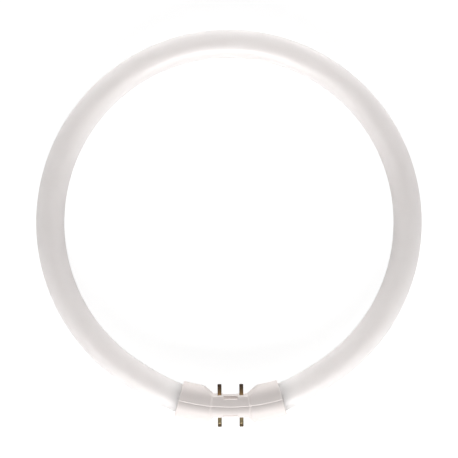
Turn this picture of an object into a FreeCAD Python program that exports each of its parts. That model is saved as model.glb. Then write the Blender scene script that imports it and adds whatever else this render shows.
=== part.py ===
import FreeCAD, Part
import math
import os

from FreeCAD import Vector

# Circular fluorescent lamp lying flat, cap towards -Y. Sizes in millimetres, angles in degrees.

# Glass ring
ring_outer_diameter = 225.0
tube_diameter = 16.4
end_bend_angle = 36.0      # from the middle of the cap to where the glass ends begin to open out
glass_end_length = 8.0     # straight stretch at each end
glass_end_round = 2.6      # rounding of the rim at each end

# Sealed stem in each glass end
stem_depth = 6.0
stem_mouth_diameter = 9.6
stem_floor_diameter = 7.6
exhaust_tip_diameter = 3.2
exhaust_tip_length = 4.0   # beyond the rim of the glass

# Cap, two moulded halves that meet on a cylinder about the ring's axis
cap_offset = 2.4           # the cap's centre line lies this far outside the ring's
mouth_offset = 0.3         # the cap's centre line lies this far outside the glass at the mouth
glass_gap = 1.05           # between the glass and the collar's bore
collar_wall = 1.45
grip_length = 8.0          # glass held inside each collar
mouth_wall = 1.4
mouth_round = 0.6
centre_step = 0.5          # the collars stand this far proud of the centre section
step_length = 1.0          # of the slope between the two
step_setback = 1.7         # from the end of the flats to the step
seam_step = 0.25           # the inner half stands this far proud of the outer one
seam_bevel = 0.55          # width of the bevel along the inner half's seam edges
seam_groove = 0.05         # the bevel ends this far below the outer half

# Flats that the pins stand on, and the notches between them
flat_offset = 6.0          # from the cap's centre line
pin_pitch = 12.7
pad_outer_margin = 3.65    # from the pin's axis to the end of the flat
pad_inner_margin = 2.25    # from the pin's axis to the notch
notch_depth = 1.56
notch_half_height = 4.2    # the middle strip left at the full height of the flat
corner_radius = 4.0        # eases the corner between the sloping ends and the collars
corner_cut = 1.2           # the easing starts this far before the corner
corner_left = 12.0         # angle at which it meets the collar

# Contact pins
pin_diameter = 2.35
pin_length = 6.4           # beyond the flat
pin_tip_round = 0.3
shank_diameter = 2.7
flange_diameter = 3.9
flange_thickness = 0.6
boss_wall = 1.0
boss_gap = 2.2             # from the end of a boss to the cap's centre line
stub_diameter = 1.5
stub_length = 1.0
crimp_place = 0.75         # share of the pin's length at the middle of the crimp
crimp_depth = 0.3
crimp_radius = 1.1

# Inside of the cap
web_thickness = 1.2
chamber_length = 10.6      # from the web to the glass
rib_thickness = 1.0
tongue_thickness = 0.55
tongue_height = 1.0
tongue_root = 0.2          # lies within the inner half's wall
post_diameter = 2.2
post_setback = 1.1         # from the edge of the middle strip to the post's axis
post_reach = 1.6           # past the seam
socket_wall = 0.9

# Lead wires
wire_diameter = 0.6
wire_spacing = 4.4         # at the stem
wire_lead = 3.0            # straight stretch before the pin
wire_margin = 1.5          # the bend starts this far past the exhaust tip
wire_overrun = 1.1         # past the pin's axis
bend_share = 0.45          # of the shorter run beside a bend
slot_margin = 0.5

# Clearances
glass_clearance = 0.12
pin_clearance = 0.02
post_clearance = 0.05
tongue_clearance = 0.05
eye_clearance = 0.03
slack = 0.5                # cutters run this far past what they cut

# Worked out from the sizes above
tube_radius = tube_diameter / 2
ring_line = ring_outer_diameter / 2 - tube_radius
cap_line = ring_line + cap_offset
bore_radius = tube_radius + glass_gap
collar_radius = bore_radius + collar_wall
pin_x = pin_pitch / 2
flat_half_length = pin_x + pad_outer_margin
notch_half_length = pin_x - pad_inner_margin
step_x = flat_half_length + step_setback
glass_end_x = step_x + chamber_length
boss_length = flat_offset - boss_gap
stub_offset = boss_gap - flange_thickness - stub_length / 2
wire_radius = wire_diameter / 2
notch_floor = flat_offset - notch_depth
post_height = notch_half_height + post_setback
far = 3 * collar_radius    # further out than any face of the cap

lowest_y = cap_line + flat_offset + pin_length
highest_y = ring_line + tube_radius
ring_centre = Vector(0, (lowest_y - highest_y) / 2, collar_radius)
cap_y = ring_centre.y - cap_line

AXIS = Vector(0, 0, 1)
ALONG = Vector(1, 0, 0)
ORIGIN = Vector(0, 0, 0)
INNER = 1                  # towards the ring's middle
OUTER = -1
SLOPE = math.radians(45)   # of the sloping ends of the flats


def cap_degrees(length):
    """Angle that a length takes up along the cap's centre line."""
    return math.degrees(length / cap_line)


def about(centre, radius, angle):
    """Point on a circle round a centre; angle 0 points from the ring's middle to the cap's."""
    turn = math.radians(angle)
    return centre + Vector(radius * math.sin(turn), -radius * math.cos(turn), 0)


def heading(angle):
    """Direction along such a circle, with the angle growing."""
    turn = math.radians(angle)
    return Vector(math.cos(turn), math.sin(turn), 0)


# Angles of the cap, from its middle
step_angle = math.degrees(math.asin(step_x / cap_line))
glass_end_angle = math.degrees(math.asin(glass_end_x / cap_line))
mouth_angle = glass_end_angle + cap_degrees(grip_length)
wall_angle = mouth_angle - cap_degrees(mouth_wall)

# Path of the glass: a long arc, then a wider arc that reaches the mouth, then a straight end
mouth_line = cap_line - mouth_offset
bend_turn = math.radians(end_bend_angle - mouth_angle)
end_arc_shift = (mouth_line**2 - ring_line**2) / (2 * (ring_line - mouth_line * math.cos(bend_turn)))
end_arc_line = ring_line + end_arc_shift
end_arc_centre = about(ring_centre, -end_arc_shift, end_bend_angle)
end_arc_stop = math.degrees(
    math.atan2(glass_end_length, end_arc_line)
    + math.asin((glass_end_x - end_arc_centre.x) / math.hypot(end_arc_line, glass_end_length))
)
glass_end_start = about(end_arc_centre, end_arc_line, end_arc_stop)
glass_end_heading = heading(end_arc_stop) * -1
glass_end = glass_end_start + glass_end_heading * glass_end_length
glass_end_side = Vector(glass_end_heading.y, -glass_end_heading.x, 0)


def bent_rod(centre, line, radius, start, end):
    """Round rod bent along an arc about a centre, between two angles."""
    circle = Part.makeCircle(radius, about(centre, line, 0), ALONG)
    face = Part.Face(Part.Wire(circle))
    face.rotate(centre, AXIS, start)
    return face.revolve(centre, AXIS, end - start)


def cap_rod(radius, start, end):
    """Round rod along the cap's centre line."""
    return bent_rod(ring_centre, cap_line, radius, start, end)


def outline(steps):
    """Closed face in the XZ plane. A step is a corner, or the middle and end of an arc."""
    corners = [step if isinstance(step[0], float) else step[1] for step in steps]
    edges = []
    for i, step in enumerate(steps):
        start = Vector(corners[i - 1][0], 0, corners[i - 1][1])
        end = Vector(corners[i][0], 0, corners[i][1])
        if isinstance(step[0], float):
            edges.append(Part.LineSegment(start, end).toShape())
        else:
            middle = Vector(step[0][0], 0, step[0][1])
            edges.append(Part.Arc(start, middle, end).toShape())
    return Part.Face(Part.Wire(edges))


def rounded(radius, top, rounding):
    """Step of an outline that rounds the outer corner at a radius and a height."""
    diagonal = rounding * (1 - math.sqrt(0.5))
    return ((radius - diagonal, top - diagonal), (radius - rounding, top))


def turned(steps, place, direction):
    """Solid of revolution whose outline is given as radius and height along a direction."""
    solid = outline(steps).revolve(ORIGIN, AXIS, 360)
    solid.Placement = FreeCAD.Placement(place, FreeCAD.Rotation(AXIS, direction))
    return solid


def slab(steps, low, high):
    """Plate whose outline is given in X and Y, between two heights."""
    face = outline(steps)
    face.rotate(ORIGIN, ALONG, -90)
    face.translate(AXIS * low)
    return face.extrude(AXIS * (high - low))


def block(x_range, y_range, z_range):
    """Box between two values on each axis, given in either order."""
    lows = [min(pair) for pair in (x_range, y_range, z_range)]
    sizes = [abs(pair[1] - pair[0]) for pair in (x_range, y_range, z_range)]
    return Part.makeBox(*sizes, Vector(*lows))


def joined(solids):
    """One solid from pieces that touch or overlap."""
    whole = solids[0].fuse(solids[1:])
    return whole.removeSplitter()


def mirrored(solid):
    """The same solid on the other side of the lamp's plane of symmetry."""
    return solid.mirror(ORIGIN, ALONG)


def on_both_sides(solids):
    """The solids and their mirror images."""
    return solids + [mirrored(solid) for solid in solids]


def glass_tip():
    """Straight end of the tube with its rim, sunken stem and exhaust tip."""
    floor = glass_end_length - stem_depth
    tip = glass_end_length + exhaust_tip_length
    tip_radius = exhaust_tip_diameter / 2
    steps = [
        (0.0, 0.0),
        (tube_radius, 0.0),
        (tube_radius, glass_end_length - glass_end_round),
        rounded(tube_radius, glass_end_length, glass_end_round),
        (stem_mouth_diameter / 2, glass_end_length),
        (stem_floor_diameter / 2, floor),
        (tip_radius, floor),
        (tip_radius, tip - tip_radius),
        rounded(tip_radius, tip, tip_radius),
    ]
    return turned(steps, glass_end_start, glass_end_heading)


def make_glass_tube():
    """The bent and sealed tube, one solid."""
    ring = bent_rod(ring_centre, ring_line, tube_radius, end_bend_angle, 360 - end_bend_angle)
    opening = bent_rod(end_arc_centre, end_arc_line, tube_radius, end_arc_stop, end_bend_angle)
    return joined([ring] + on_both_sides([opening.fuse(glass_tip())]))


def glass_space():
    """Room that the cap leaves for the glass on one side."""
    radius = tube_radius + glass_clearance
    bend = bent_rod(end_arc_centre, end_arc_line, radius, end_arc_stop, end_bend_angle)
    length = glass_end_length + glass_clearance
    return bend.fuse(Part.makeCylinder(radius, length, glass_end_start, glass_end_heading))


def slope_top(side, level, foot, radius):
    """Where a slope that rises at 45 degrees from a flat meets the collar's edge."""
    edge = cap_line - side * radius
    base = cap_line - side * (level - foot)
    return side * (base - math.sqrt(2 * edge**2 - base**2)) / 2


def flat_cutter(side, inset):
    """What lies outside one flat and its sloping ends, drawn in by an inset."""
    radius = collar_radius - inset
    level = flat_offset - inset
    foot = flat_half_length + inset * math.tan(SLOPE / 2)
    top = slope_top(side, level, foot, radius)
    end_slope = side * math.asin(top / (cap_line - side * radius)) + math.radians(corner_left)
    start_x = top - corner_cut
    start_level = level + start_x - foot
    centre_x = start_x + corner_radius * math.sin(SLOPE)
    centre_level = start_level - corner_radius * math.cos(SLOPE)

    def at(x, offset):
        return (x, cap_y + side * offset)

    def on_corner(slope):
        return at(centre_x - corner_radius * math.sin(slope), centre_level + corner_radius * math.cos(slope))

    end = on_corner(end_slope)
    steps = [
        at(0.0, level),
        at(foot, level),
        at(start_x, start_level),
        (on_corner((SLOPE + end_slope) / 2), end),
        (end[0] + far, end[1] + side * far * math.tan(end_slope)),
        at(end[0] + far, far),
        at(0.0, far),
    ]
    half = slab(steps, 0, far)
    return half.fuse(mirrored(half))


def notch_cutters(inset):
    """The four notches in the flats, above and below the middle strip, drawn in by an inset."""
    length = notch_half_length + inset
    floor = flat_offset - notch_depth - inset
    level = notch_half_height - inset
    cutters = []
    for side in (INNER, OUTER):
        for up in (1, -1):
            depth = (cap_y + side * floor, cap_y + side * far)
            height = (collar_radius + up * level, collar_radius + up * far)
            cutters.append(block((-length, length), depth, height))
    return cutters


def step_cone(radius):
    """Sloping face between a collar and the centre section."""
    place = about(ring_centre, cap_line, step_angle)
    return Part.makeCone(radius, radius - 2 * centre_step, 2 * step_length, place, heading(step_angle) * -1)


def mouth_edge(radius, angle):
    """Last slice of a collar, with its outer edge rounded."""
    edge = rounded(radius, mouth_round, mouth_round)
    steps = [(0.0, 0.0), (radius, 0.0), edge, (0.0, mouth_round)]
    return turned(steps, about(ring_centre, cap_line, angle), heading(angle))


def cap_form(radius, inset, end_angle, ends):
    """Form of the whole cap about its centre line, with its flats and notches drawn in by an inset."""
    collar = [cap_rod(radius, step_angle, end_angle), step_cone(radius)] + ends
    centre = cap_rod(radius - centre_step, -step_angle, step_angle)
    cutters = [flat_cutter(INNER, inset), flat_cutter(OUTER, inset)] + notch_cutters(inset)
    return joined(on_both_sides(collar) + [centre]).cut(cutters)


def cap_outside(radius):
    """Outer form of the cap, up to its mouths."""
    end_angle = mouth_angle - cap_degrees(mouth_round)
    return cap_form(radius, 0, end_angle, [mouth_edge(radius, end_angle)])


def cap_cavity():
    """Hollow of the cap, as far as the walls round its mouths."""
    return cap_form(bore_radius, collar_wall, wall_angle, [])


def seam_core(radius):
    """Everything nearer to the ring's axis than a radius."""
    return Part.makeCylinder(radius, 2 * far, ring_centre - AXIS * far)


def rib():
    """Rib across a collar that holds the glass at the middle of its grip."""
    place = glass_end_angle + cap_degrees(grip_length / 2)
    half = cap_degrees(rib_thickness / 2)
    return cap_rod(collar_radius, place - half, place + half)


def web():
    """Wall between the centre of the cap and the end of the glass."""
    thickness = (step_x - web_thickness / 2, step_x + web_thickness / 2)
    return block(thickness, (cap_y - far, cap_y + far), (collar_radius - far, collar_radius + far))


def wire_slot():
    """Slot through a web for the lead wires, open at the seam."""
    thickness = (step_x - web_thickness / 2 - slack, step_x + web_thickness / 2 + slack)
    depth = stub_offset + wire_spacing / 2 + slot_margin
    height = wire_radius + slot_margin
    return block(thickness, (cap_y - depth, cap_y + depth), (collar_radius - height, collar_radius + height))


def bar(side, x, height, radius, start, end):
    """Round bar square to the cap's centre line, between two distances from it."""
    place = Vector(x, cap_y + side * start, collar_radius + height)
    return Part.makeCylinder(radius, end - start, place, Vector(0, side, 0))


def seam_bands(inner, outer, top, bottom, margin):
    """Strips inside the walls along the seam, from above it on the inner half to below it."""
    web_edge = cap_degrees(web_thickness / 2 + margin)
    collar = cap_rod(outer, step_angle + web_edge, wall_angle - cap_degrees(margin))
    collar = collar.cut(cap_rod(inner, step_angle, mouth_angle))
    centre = cap_rod(outer - centre_step, web_edge - step_angle, step_angle - web_edge)
    centre = centre.cut(cap_rod(inner - centre_step, -step_angle, step_angle))
    ring = seam_core(cap_line + bottom).cut(seam_core(cap_line - top))
    return [strip.common(ring) for strip in on_both_sides([collar]) + [centre]]


def seam_bevels():
    """What the bevels along the inner half's seam edges take away."""
    step_middle = step_angle - cap_degrees(step_length / 2)
    end_angle = mouth_angle + cap_degrees(slack)
    spans = [
        (collar_radius, step_middle, end_angle),
        (collar_radius - centre_step, -step_middle, step_middle),
        (collar_radius, -end_angle, -step_middle),
    ]
    depth = seam_step + seam_groove
    rise = depth / seam_bevel
    height = depth + centre_step + slack
    cutters = []
    for radius, start, end in spans:
        for up in (1, -1):
            edge = collar_radius + up * (radius - depth)
            top = edge + up * height
            corners = [(-slack, edge - up * slack * rise), (-slack, top), (height / rise, top)]
            face = outline(corners)
            face.rotate(ORIGIN, AXIS, 90)
            face.translate(Vector(0, cap_y, 0))
            face.rotate(ring_centre, AXIS, start)
            cutters.append(face.revolve(ring_centre, AXIS, end - start))
    return cutters


def half_shell(side, outside, features, cutters):
    """Wall of one half with its webs, ribs and bosses, cleared for the glass, pins and wires."""
    boss = bar(side, pin_x, 0, shank_diameter / 2 + boss_wall, boss_gap, flat_offset)
    features = on_both_sides([rib(), web(), boss]) + features
    inside = [feature.common(outside) for feature in features]
    pin_hole = bar(side, pin_x, 0, shank_diameter / 2 + pin_clearance, 0, flat_offset + slack)
    cutters = on_both_sides([glass_space(), pin_hole, wire_slot()]) + cutters
    return joined([outside.cut(cap_cavity())] + inside).cut(cutters)


def make_inner_half():
    """Half towards the ring's middle, with the sockets and the tongues."""
    outside = cap_outside(collar_radius).common(seam_core(cap_line))
    hole_radius = post_diameter / 2 + post_clearance
    hole_depth = post_reach + post_clearance
    sockets = []
    holes = seam_bevels()
    for height in (post_height, -post_height):
        sockets.append(bar(INNER, 0, height, hole_radius + socket_wall, 0, notch_floor))
        holes.append(bar(INNER, 0, height, hole_radius, -slack, hole_depth))
    shell = half_shell(INNER, outside, sockets, holes)
    inner = bore_radius + tongue_clearance
    tongues = seam_bands(inner, inner + tongue_thickness, tongue_root, tongue_height, tongue_clearance)
    return joined([shell] + tongues)


def make_outer_half():
    """Half away from the ring's middle, with the posts and the rebates for the tongues."""
    outside = cap_outside(collar_radius - seam_step).cut(seam_core(cap_line))
    outer = bore_radius + tongue_thickness + 2 * tongue_clearance
    rebates = seam_bands(bore_radius, outer, slack, tongue_height + tongue_clearance, 0)
    shell = half_shell(OUTER, outside, [], rebates)
    root = notch_floor - collar_wall / 2
    posts = []
    for height in (post_height, -post_height):
        posts.append(bar(OUTER, 0, height, post_diameter / 2, -post_reach, root))
    return joined([shell] + posts)


def make_pin(side):
    """Contact pin: a shank in its boss, a flange behind it and an eyed stub for the lead wire."""
    flange_end = -(boss_length + flange_thickness)
    stub_end = flange_end - stub_length
    steps = [
        (0.0, stub_end),
        (stub_diameter / 2, stub_end),
        (stub_diameter / 2, flange_end),
        (flange_diameter / 2, flange_end),
        (flange_diameter / 2, -boss_length),
        (shank_diameter / 2, -boss_length),
        (shank_diameter / 2, 0.0),
        (pin_diameter / 2, 0.0),
        (pin_diameter / 2, pin_length - pin_tip_round),
        rounded(pin_diameter / 2, pin_length, pin_tip_round),
        (0.0, pin_length),
    ]
    pin = turned(steps, Vector(pin_x, cap_y + side * flat_offset, collar_radius), Vector(0, side, 0))
    crimp_offset = flat_offset + crimp_place * pin_length
    crimp_height = pin_diameter / 2 - crimp_depth + crimp_radius
    cross_bars = [
        (stub_offset, 0, wire_radius + eye_clearance),
        (crimp_offset, crimp_height, crimp_radius),
        (crimp_offset, -crimp_height, crimp_radius),
    ]
    cutters = []
    for offset, height, radius in cross_bars:
        place = Vector(pin_x - pin_diameter, cap_y + side * offset, collar_radius + height)
        cutters.append(Part.makeCylinder(radius, 2 * pin_diameter, place, ALONG))
    return pin.cut(cutters)


def bent_wire(points, radius):
    """Wire through points in one level plane, with an arc at each bend."""
    pieces = []
    start = points[0]
    for before_point, point, after_point in zip(points, points[1:], points[2:]):
        before = (point - before_point).normalize()
        after = (after_point - point).normalize()
        turn = before.getAngle(after)
        reach = bend_share * min(point.distanceToPoint(before_point), point.distanceToPoint(after_point))
        arc_start = point - before * reach
        turns_left = 1 if before.cross(after).z > 0 else -1
        centre = arc_start + Vector(-before.y, before.x, 0) * (turns_left * reach / math.tan(turn / 2))
        pieces.append(Part.makeCylinder(radius, start.distanceToPoint(arc_start), start, before))
        section = Part.Face(Part.Wire(Part.makeCircle(radius, arc_start, before)))
        pieces.append(section.revolve(centre, AXIS * turns_left, math.degrees(turn)))
        start = point + after * reach
    last = points[-1] - start
    pieces.append(Part.makeCylinder(radius, last.Length, start, last))
    return joined(pieces)


def make_lead_wire(side):
    """Wire from the stem in the glass to the eye of a pin."""
    aside = glass_end_side * (side * wire_spacing / 2)
    stem = glass_end - glass_end_heading * stem_depth + aside
    past_tip = glass_end + glass_end_heading * (exhaust_tip_length + wire_margin) + aside
    level = cap_y + side * stub_offset
    turn_in = Vector(pin_x + stub_diameter / 2 + wire_lead, level, collar_radius)
    end = Vector(pin_x - wire_overrun, level, collar_radius)
    return bent_wire([stem, past_tip, turn_in, end], wire_radius)


def main():
    """Writes one file for each piece."""
    os.makedirs("parts", exist_ok=True)
    pieces = {
        "glass_tube": make_glass_tube(),
        "cap_inner_half": make_inner_half(),
        "cap_outer_half": make_outer_half(),
    }
    for name, side in (("inner", INNER), ("outer", OUTER)):
        pin = make_pin(side)
        wire = make_lead_wire(side)
        pieces[f"pin_{name}_right"] = pin
        pieces[f"pin_{name}_left"] = mirrored(pin)
        pieces[f"lead_wire_{name}_right"] = wire
        pieces[f"lead_wire_{name}_left"] = mirrored(wire)
    for name, shape in pieces.items():
        shape.exportStep(f"parts/{name}.step")


main()
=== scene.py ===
import math

import bpy
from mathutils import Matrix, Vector


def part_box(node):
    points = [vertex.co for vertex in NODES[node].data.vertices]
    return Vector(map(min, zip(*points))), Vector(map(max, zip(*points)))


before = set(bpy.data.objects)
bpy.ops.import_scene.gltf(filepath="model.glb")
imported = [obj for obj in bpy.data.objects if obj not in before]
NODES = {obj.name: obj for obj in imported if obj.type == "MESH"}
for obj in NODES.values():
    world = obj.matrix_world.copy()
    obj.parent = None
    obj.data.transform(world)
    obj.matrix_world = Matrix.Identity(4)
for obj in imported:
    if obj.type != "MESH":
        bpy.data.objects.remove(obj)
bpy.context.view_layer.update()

# Circular fluorescent lamp seen from straight above, on a plain white ground. Lengths in metres, angles in
# degrees, lamp powers in watts. The cap is at -Y and the ring's middle is near the origin.

# Camera: how far above the middle of the tube, the width that it takes in there, its place and its turn
SHOT = {"distance": 0.740, "width": 0.2673, "x": 0.0, "y": -0.0005, "roll": -0.5}
SENSOR_WIDTH_MM = 36
NEAREST_SEEN = 0.01
FURTHEST_SEEN = 50

# Soft boxes, all turned to LAMP_TARGET. Only the front one shows in gloss.
LAMP_TARGET = Vector((0, 0, 0))
SIDE_TINT = (1.0, 0.98, 0.975)
LAMPS = {
    "softbox_front": {
        "place": (0, -2.20, 1.18), "size": (2.0, 0.9), "power": 72,
        "tint": (1.0, 0.99, 0.99), "mirrored": True,
    },
    "softbox_back": {
        "place": (0, 2.47, 0.36), "size": (2.0, 0.4), "power": 62,
        "tint": (1.0, 0.995, 0.995), "mirrored": False,
    },
    "softbox_right": {
        "place": (2.49, 0, 0.22), "size": (2.0, 0.36), "power": 20,
        "tint": SIDE_TINT, "mirrored": False,
    },
    "softbox_left": {
        "place": (-2.49, 0, 0.22), "size": (2.0, 0.36), "power": 16,
        "tint": SIDE_TINT, "mirrored": False,
    },
}

# Light from all round: its strength (To) against the height of the direction that it comes from (From)
SURROUNDINGS = {"From Min": 0.1, "From Max": 0.5, "To Min": 0.03, "To Max": 0.015}
SURROUNDINGS_TINT = (1.0, 0.9, 0.82)
WHITE = (1.0, 1.0, 1.0)

# Ground: its share of returned light where it is seen and where it only lights the lamp, the glow that
# makes it show white, and how much of that glow is left in gloss
FLOOR_HALF = 20.0
FLOOR_SEEN = 0.25
FLOOR_BOUNCE = 0.95
FLOOR_GLOW = 0.92
FLOOR_MIRRORED = 0.6

# Tones of the pieces: the two ends between which a noise varies them
COATING = ((0.772, 0.732, 0.72), (0.795, 0.755, 0.743))
# The next tones are painted light: the coating beside the cap's mouths is lightened against shade there
COATING_PAINTED_LIGHTER_AT_CAP = ((0.93, 0.87, 0.85), (0.94, 0.885, 0.865))
PLASTIC = ((0.83, 0.775, 0.752), (0.85, 0.795, 0.772))
NICKEL = ((0.50, 0.48, 0.45), (0.62, 0.60, 0.57))
NOISE_ENDS = (0.3, 0.7)

# Beside the cap's mouths, MOUTH_X aside of its middle, the coating is painted lighter, fading over
# END_REACH:
# painted light against shade, as the unlit ends of the tube inside the cap would otherwise darken the tube
# next to it.
MOUTH_X = 0.031
END_REACH = 0.013

# Brass along the length of a pin that shows, from the cap at 0 to the tip at 1. The tones are darkened as
# painted reflection of dark surroundings, on the inner pins most toward the tip; the outer pins turn darker
# beyond the crimp.
PIN_LENGTH = 0.0064
INNER_PIN_BRASS_AND_PAINTED_REFLECTION = [
    (0.0, (0.33, 0.23, 0.12)),
    (0.22, (0.19, 0.125, 0.062)),
    (0.6, (0.10, 0.066, 0.042)),
    (0.85, (0.062, 0.041, 0.03)),
]
OUTER_PIN_BRASS_AND_PAINTED_REFLECTION = [
    (0.0, (0.25, 0.20, 0.11)),
    (0.6, (0.18, 0.15, 0.088)),
    (0.75, (0.12, 0.088, 0.05)),
    (1.0, (0.13, 0.096, 0.06)),
]


class Tree:
    """Node tree with a few short ways to add and join its nodes."""

    def __init__(self, tree):
        self.nodes = tree.nodes
        self.links = tree.links

    def feed(self, socket, value):
        """Joins another node's output to a socket, or sets the socket to a value."""
        if isinstance(value, bpy.types.NodeSocket):
            self.links.new(value, socket)
        else:
            socket.default_value = value

    def add(self, kind, inputs=None, **settings):
        """New node with its settings, and its inputs by name."""
        node = self.nodes.new(kind)
        for name, value in settings.items():
            setattr(node, name, value)
        for name, value in (inputs or {}).items():
            self.feed(node.inputs[name], value)
        return node

    def math(self, operation, *values):
        node = self.add("ShaderNodeMath", operation=operation)
        for socket, value in zip(node.inputs, values):
            self.feed(socket, value)
        return node.outputs["Value"]

    def split(self, place):
        """X, Y and Z of a place or a direction, by name."""
        return self.add("ShaderNodeSeparateXYZ", {"Vector": place}).outputs

    def remap(self, value, ends, **settings):
        """A value brought from one range to another, each 0 to 1 where its ends aren't given."""
        return self.add("ShaderNodeMapRange", {"Value": value, **ends}, **settings).outputs["Result"]

    def mix(self, factor, first, second):
        """Colour between two others."""
        inputs = {"Factor": factor, "A": first, "B": second}
        return self.add("ShaderNodeMix", inputs, data_type="RGBA").outputs["Result"]

    def seen_directly(self, mirrored=1.0):
        """1 for what the camera sees directly or through glass, a share of it in gloss, and 0 for light."""
        path = self.add("ShaderNodeLightPath").outputs
        in_gloss = self.math("MULTIPLY", path["Is Glossy Ray"], mirrored)
        in_view = self.math("MAXIMUM", path["Is Camera Ray"], in_gloss)
        return self.math("MAXIMUM", in_view, path["Is Transmission Ray"])


class Surface(Tree):
    """Material of one kind of surface, whose noise runs through the piece's own space."""

    def __init__(self, name):
        self.material = bpy.data.materials.new(name)
        self.material.use_nodes = True
        super().__init__(self.material.node_tree)
        self.shader = self.nodes["Principled BSDF"]
        self.place = self.add("ShaderNodeTexCoord").outputs["Object"]

    def set(self, **values):
        """Gives sockets of the surface shader a value, or another node's output."""
        for name, value in values.items():
            self.feed(self.shader.inputs[name.replace("_", " ")], value)

    def noise(self, scale, detail=2.0, roughness=0.5, stretch=None):
        """Noise with so many lumps to the metre, finer along the axes that are stretched."""
        place = self.place
        if stretch:
            place = self.add("ShaderNodeMapping", {"Vector": place, "Scale": stretch}).outputs["Vector"]
        inputs = {"Vector": place, "Scale": scale, "Detail": detail, "Roughness": roughness}
        return self.add("ShaderNodeTexNoise", inputs).outputs["Fac"]

    def ramp(self, value, stops):
        """Colours or greys along a value."""
        node = self.add("ShaderNodeValToRGB", {"Fac": value})
        elements = node.color_ramp.elements
        while len(elements) < len(stops):
            elements.new(0.5)
        for element, (position, tone) in zip(elements, stops):
            element.position = position
            element.color = (*tone, 1) if isinstance(tone, tuple) else (tone, tone, tone, 1)
        return node.outputs["Color"]

    def vary(self, noise, tones):
        """Colour or grey that a noise moves between two tones."""
        return self.ramp(noise, list(zip(NOISE_ENDS, tones)))

    def bump(self, height, strength, distance, below=None):
        """Normal of a fine relief, over another normal where that is given."""
        inputs = {"Height": height, "Strength": strength, "Distance": distance}
        if below:
            inputs["Normal"] = below
        return self.add("ShaderNodeBump", inputs).outputs["Normal"]


def near_cap(glass):
    """How near a point of the tube is to the cap, where the coating is painted lighter: 1 at its mouths, 0
    a little further along the tube.
    """
    place = glass.split(glass.place)
    aside = glass.math("ABSOLUTE", place["X"])
    ends = {"From Min": MOUTH_X + END_REACH, "From Max": MOUTH_X}
    reach = glass.remap(aside, ends, interpolation_type="SMOOTHSTEP")
    cap_side = glass.math("LESS_THAN", place["Y"], 0.0)
    return glass.math("MULTIPLY", reach, cap_side)


def glass_material():
    """Clear glass over a soft white coating that spreads the light within the tube."""
    glass = Surface("coated_glass")
    mottle = glass.noise(45, detail=4, roughness=0.6)
    # Beside the cap's mouths the coating is mixed toward lighter tones: painted light against the shade
    # there
    coating = glass.mix(near_cap(glass), glass.vary(mottle, COATING), glass.vary(mottle, COATING_PAINTED_LIGHTER_AT_CAP))
    glass.set(Base_Color=coating, Roughness=glass.vary(glass.noise(300), (0.5, 0.62)))
    glass.set(IOR=1.5, Coat_Weight=0.6, Coat_Roughness=0.34, Coat_IOR=1.5)
    glass.set(Subsurface_Weight=1.0, Subsurface_Radius=(1.0, 1.0, 1.0), Subsurface_Scale=0.03)
    glass.set(Coat_Normal=glass.bump(glass.noise(60, detail=1), strength=0.15, distance=0.0004))
    return glass.material


def cap_material():
    """Satin white moulded plastic with slightly eased edges."""
    plastic = Surface("cap_plastic")
    tone = plastic.vary(plastic.noise(80, detail=3), PLASTIC)
    plastic.set(Base_Color=tone, Roughness=plastic.vary(plastic.noise(600, detail=3), (0.42, 0.52)))
    plastic.set(IOR=1.5, Specular_IOR_Level=0.35, Sheen_Weight=0.4, Sheen_Roughness=0.35)
    edge = plastic.add("ShaderNodeBevel", {"Radius": 0.0002}, samples=4).outputs["Normal"]
    grain = plastic.bump(plastic.noise(5000), strength=0.1, distance=0.00002, below=edge)
    plastic.set(Normal=grain)
    return plastic.material


def pin_material(name, at_cap, at_tip, tones):
    """Turned brass whose tone, darkened as painted reflection, changes from the cap to the tip, which are
    at these Y.
    """
    brass = Surface(name)
    along = brass.remap(brass.split(brass.place)["Y"], {"From Min": at_cap, "From Max": at_tip})
    roughness = brass.vary(brass.noise(900, detail=3), (0.28, 0.45))
    brass.set(Base_Color=brass.ramp(along, tones), Metallic=1.0, Roughness=roughness)
    turning = brass.noise(400, detail=3, stretch=(1, 12, 1))
    brass.set(Normal=brass.bump(turning, strength=0.2, distance=0.00003))
    return brass.material


def wire_material():
    """Nickel-plated wire."""
    wire = Surface("lead_wire")
    tone = wire.vary(wire.noise(700, detail=3), NICKEL)
    wire.set(Base_Color=tone, Metallic=1.0, Roughness=wire.vary(wire.noise(1500), (0.25, 0.4)))
    return wire.material


def dress():
    """Gives each piece its material, by how its name starts."""
    inner_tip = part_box("pin_inner_left")[1].y
    outer_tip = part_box("pin_outer_left")[0].y
    materials = {
        "glass_tube": glass_material(),
        "cap_": cap_material(),
        "pin_inner": pin_material("pin_brass_inner", inner_tip - PIN_LENGTH, inner_tip, INNER_PIN_BRASS_AND_PAINTED_REFLECTION),
        "pin_outer": pin_material("pin_brass_outer", outer_tip + PIN_LENGTH, outer_tip, OUTER_PIN_BRASS_AND_PAINTED_REFLECTION),
        "lead_wire": wire_material(),
    }
    for name, node in NODES.items():
        material = next(material for start, material in materials.items() if name.startswith(start))
        node.data.materials.clear()
        node.data.materials.append(material)


def make_camera():
    """Camera straight above the lamp."""
    glass_low, glass_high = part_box("glass_tube")
    tube_height = (glass_high.z + glass_low.z) / 2
    data = bpy.data.cameras.new("camera")
    data.sensor_width = SENSOR_WIDTH_MM
    data.lens = data.sensor_width * SHOT["distance"] / SHOT["width"]
    data.clip_start = NEAREST_SEEN
    data.clip_end = FURTHEST_SEEN
    camera = bpy.data.objects.new("camera", data)
    bpy.context.scene.collection.objects.link(camera)
    camera.location = (SHOT["x"], SHOT["y"], tube_height + SHOT["distance"])
    camera.rotation_euler = (0, 0, math.radians(SHOT["roll"]))
    bpy.context.scene.camera = camera


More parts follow.
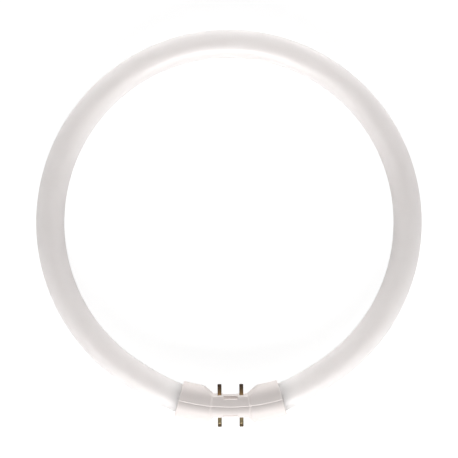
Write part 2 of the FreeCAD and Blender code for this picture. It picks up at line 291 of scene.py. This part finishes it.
def make_floor():
    """Plain white ground that shows white and keeps the shadow."""
    mesh = bpy.data.meshes.new("floor")
    corners = [(x * FLOOR_HALF, y * FLOOR_HALF, 0) for x, y in ((-1, -1), (1, -1), (1, 1), (-1, 1))]
    mesh.from_pydata(corners, [], [(0, 1, 2, 3)])
    floor = bpy.data.objects.new("floor", mesh)
    bpy.context.scene.collection.objects.link(floor)

    material = bpy.data.materials.new("floor")
    material.use_nodes = True
    tree = Tree(material.node_tree)
    tree.nodes.remove(tree.nodes["Principled BSDF"])
    tone = tree.remap(tree.seen_directly(), {"To Min": FLOOR_BOUNCE, "To Max": FLOOR_SEEN})
    shade = tree.add("ShaderNodeBsdfDiffuse", {"Color": tone})
    level = tree.math("MULTIPLY", tree.seen_directly(FLOOR_MIRRORED), FLOOR_GLOW)
    glow = tree.add("ShaderNodeEmission", {"Strength": level})
    both = tree.add("ShaderNodeAddShader")
    tree.feed(both.inputs[0], shade.outputs["BSDF"])
    tree.feed(both.inputs[1], glow.outputs["Emission"])
    tree.feed(tree.nodes["Material Output"].inputs["Surface"], both.outputs["Shader"])
    mesh.materials.append(material)


def make_world():
    """Pale surroundings: white where they are seen, and elsewhere a soft warm light from all round."""
    world = bpy.data.worlds.new("world")
    world.use_nodes = True
    bpy.context.scene.world = world
    tree = Tree(world.node_tree)
    direction = tree.split(tree.add("ShaderNodeTexCoord").outputs["Generated"])
    light = tree.remap(direction["Z"], SURROUNDINGS, interpolation_type="SMOOTHSTEP")
    seen = tree.seen_directly()
    background = tree.nodes["Background"]
    tree.feed(background.inputs["Strength"], tree.remap(seen, {"To Min": light, "To Max": 1.0}))
    tree.feed(background.inputs["Color"], tree.mix(seen, (*SURROUNDINGS_TINT, 1), (*WHITE, 1)))


def make_lamp(name, place, size, power, tint, mirrored):
    """Soft box that faces the target, with or without a reflection of it in gloss."""
    data = bpy.data.lights.new(name, "AREA")
    data.shape = "RECTANGLE"
    data.size, data.size_y = size
    data.energy = power
    data.color = tint
    lamp = bpy.data.objects.new(name, data)
    bpy.context.scene.collection.objects.link(lamp)
    lamp.location = place
    lamp.rotation_euler = (LAMP_TARGET - Vector(place)).to_track_quat("-Z", "Y").to_euler()
    lamp.visible_camera = False
    lamp.visible_glossy = mirrored


make_camera()
dress()
make_floor()
make_world()
for lamp_name, lamp in LAMPS.items():
    make_lamp(lamp_name, **lamp)

bpy.context.scene.view_settings.view_transform = "Standard"
